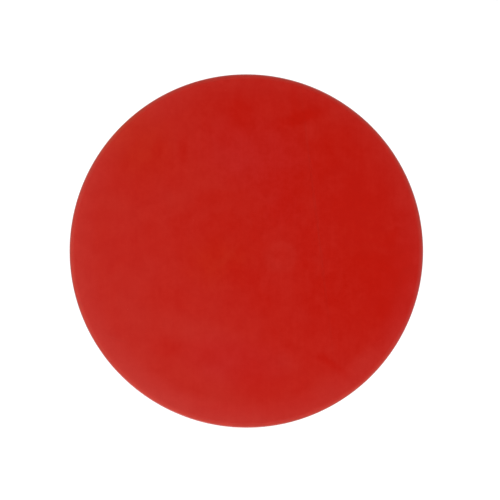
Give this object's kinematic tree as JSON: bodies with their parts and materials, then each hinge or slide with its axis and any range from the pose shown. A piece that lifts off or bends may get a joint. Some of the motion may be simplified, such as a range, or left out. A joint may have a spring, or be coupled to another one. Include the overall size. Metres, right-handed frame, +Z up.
{
  "type": "ice stock",
  "caption": "Ice stock, a disc-shaped curling stone that glides on a flat red rubber sole, with a steel ring round its body and a bent handle that screws down through the body to hold the sole.",
  "frame": {"origin": "centre of the running face, on the ice that the stone stands on", "axes": "+Z up along the tie bolt and the straight part of the handle; the handle's grip leans towards +X"},
  "size_m": [0.275, 0.275, 0.3366],
  "materials": {
    "red_rubber": "satin, slightly soiled",
    "black_rubber": "matte",
    "black_plastic": "fine moulded grain",
    "shell_plastic": "satin moulded plastic",
    "ring_steel": "turned, with fine marks from play",
    "bright_steel": "zinc plated",
    "handle_aluminium": "anodised, satin",
    "brass": "machined"
  },
  "bodies": {
    "stock_body": {"body_base": "black_plastic", "lower_damper": "black_rubber", "steel_ring": "ring_steel", "upper_damper": "black_rubber", "body_shell": "shell_plastic", "hub_sleeve": "bright_steel", "shell_screw_1": "bright_steel", "shell_screw_2": "bright_steel", "shell_screw_3": "bright_steel", "shell_screw_4": "bright_steel", "shell_screw_5": "bright_steel", "shell_screw_6": "bright_steel"},
    "sole": {"running_facing": "red_rubber", "sole_carrier": "black_plastic", "sole_insert": "brass", "insert_screw_1": "bright_steel", "insert_screw_2": "bright_steel", "insert_screw_3": "bright_steel", "insert_screw_4": "bright_steel"},
    "handle": {"friction_washer": "black_rubber", "handle_foot": "handle_aluminium", "tie_bolt": "bright_steel", "handle_tube": "handle_aluminium", "cross_pin": "bright_steel", "grip_collar": "handle_aluminium", "grip_sleeve": "black_rubber", "end_plug": "black_plastic", "end_knob": "red_rubber", "knob_screw": "bright_steel"}
  },
  "joints": [
    {"name": "handle_turn", "type": "hinge", "parent": "stock_body", "child": "handle", "pos_m": [0, 0, 0.0965], "axis": [0, 0, 1], "range_deg": [0, 2200]},
    {"name": "sole_release", "type": "slide", "parent": "stock_body", "child": "sole", "axis": [0, 0, -1], "range_m": [0, 0.012]}
  ],
  "couplings": [
    {"joint": "handle_turn", "follows": "sole_release", "rad_per_m": 3141.6}
  ]
}
